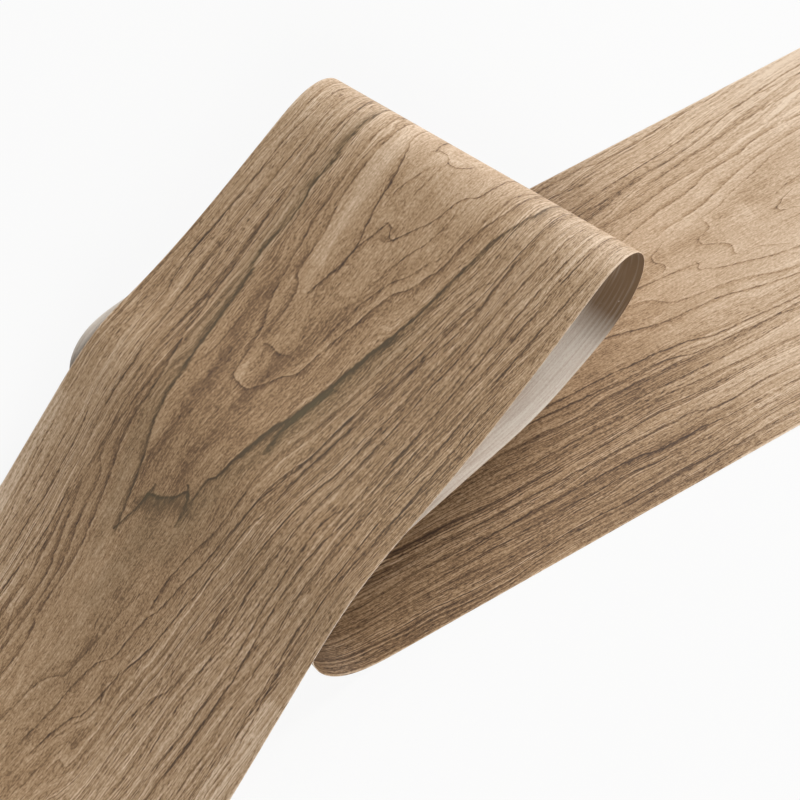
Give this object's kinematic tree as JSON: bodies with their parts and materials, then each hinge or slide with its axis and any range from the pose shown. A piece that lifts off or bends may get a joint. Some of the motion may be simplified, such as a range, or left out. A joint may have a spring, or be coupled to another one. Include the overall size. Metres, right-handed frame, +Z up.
{
  "type": "wood veneer sheet",
  "caption": "Long flexible walnut veneer sheet with a pale fleece backing, laid in a loose S fold with both ends flat.",
  "frame": {"origin": "middle of the whole folded sheet's box, at floor level", "axes": "+X along the lower run towards its cut end, +Z up from the floor"},
  "size_m": [1.9242, 0.6426, 0.0797],
  "materials": {
    "walnut_veneer": "unfinished, matt, crown-cut walnut figure",
    "pale_fleece": "matt pale grey fleece"
  },
  "bodies": {
    "root": {"veneer_leaf": "walnut_veneer", "fleece_backing": "pale_fleece"}
  },
  "joints": []
}
